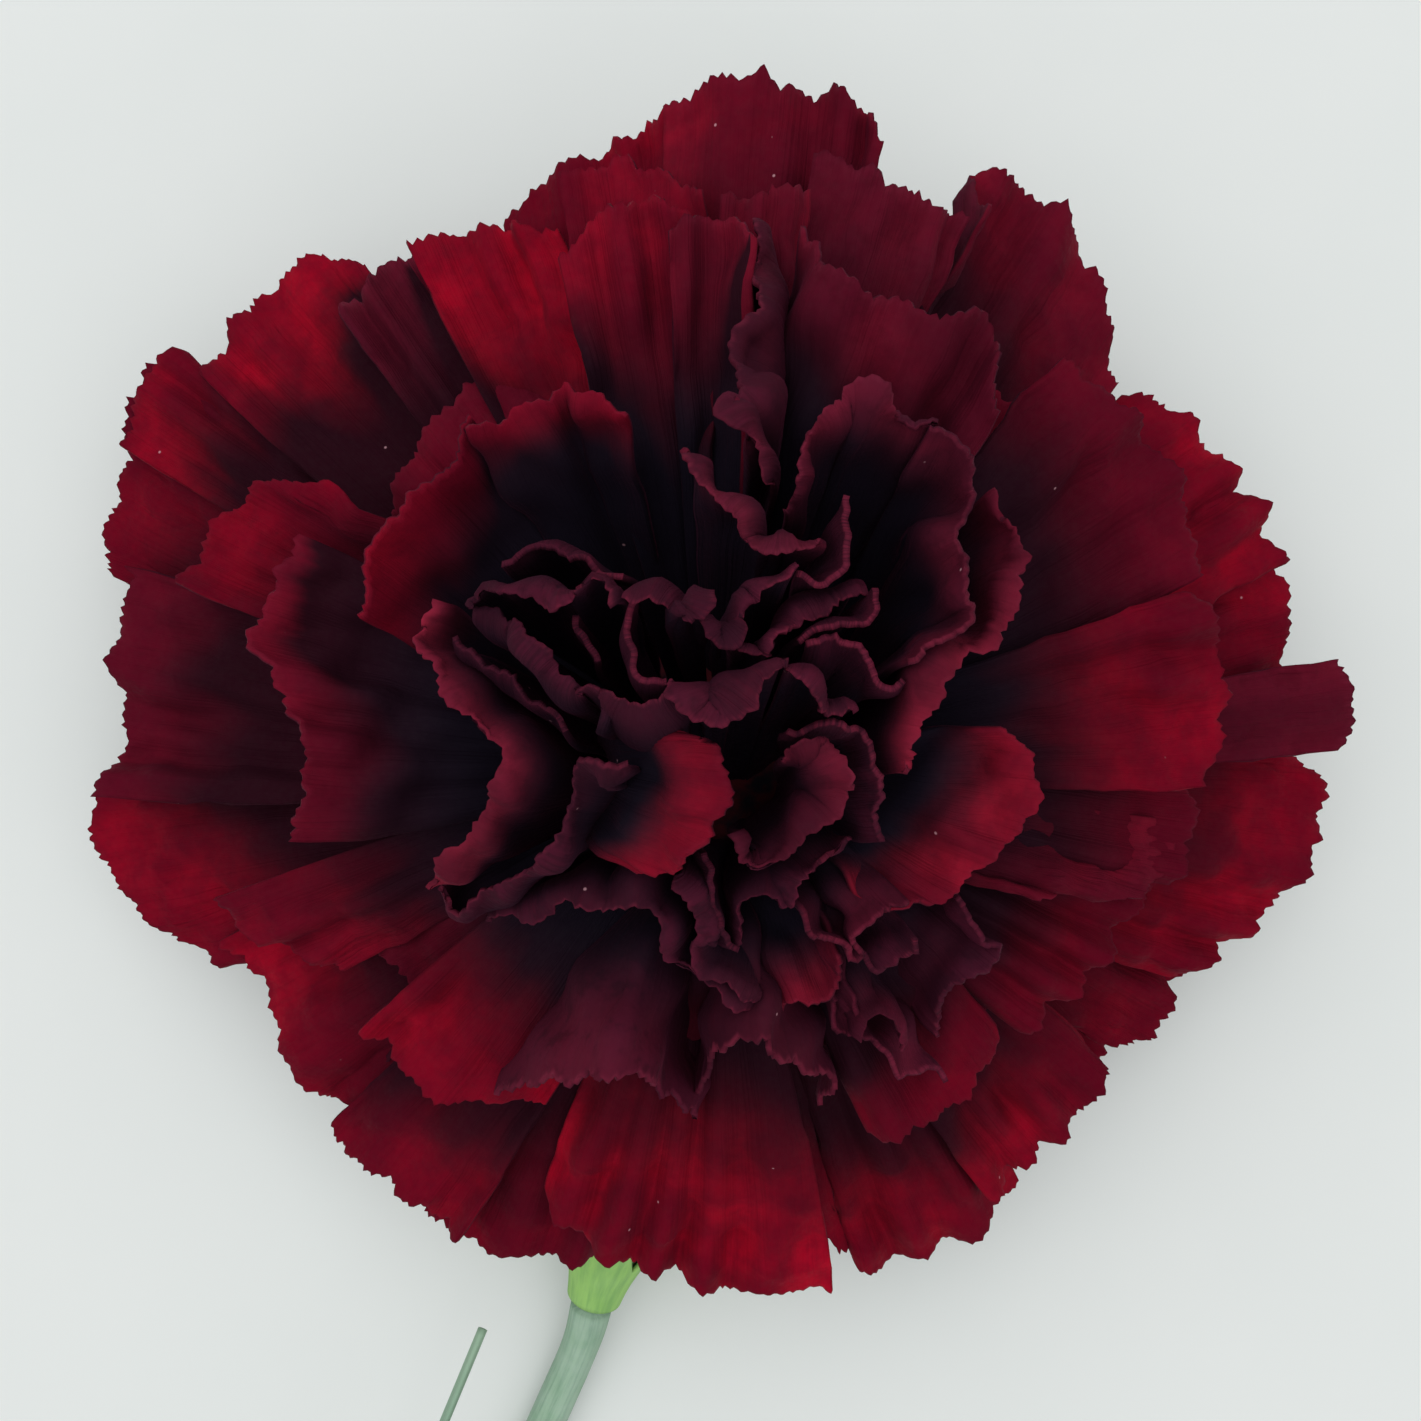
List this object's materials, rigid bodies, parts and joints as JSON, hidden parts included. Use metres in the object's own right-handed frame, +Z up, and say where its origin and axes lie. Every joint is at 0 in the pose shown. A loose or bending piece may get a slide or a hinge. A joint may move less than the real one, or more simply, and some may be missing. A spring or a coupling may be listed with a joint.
{
  "type": "standard carnation",
  "caption": "Cut double carnation lying on a flat surface: ruffled bloom facing up, calyx with bracts, short jointed stem and narrow leaves.",
  "frame": {"origin": "on the surface that the flower lies on, under the middle of its box", "axes": "+Y from the cut end of the stem to the bloom, +Z up, the way the bloom faces"},
  "size_m": [0.1273, 0.2324, 0.0434],
  "materials": {
    "petal": "matt, velvety",
    "calyx": "smooth, waxy",
    "bract": "smooth, waxy",
    "stem": "matt, waxy bloom",
    "leaf": "matt, waxy bloom"
  },
  "bodies": {
    "root": {"bloom": "petal", "calyx": "calyx", "epicalyx": "bract", "stem": "stem", "leaf_upper_left": "leaf", "leaf_upper_right": "leaf", "leaf_lower_left": "leaf", "leaf_lower_right": "leaf"}
  },
  "joints": []
}
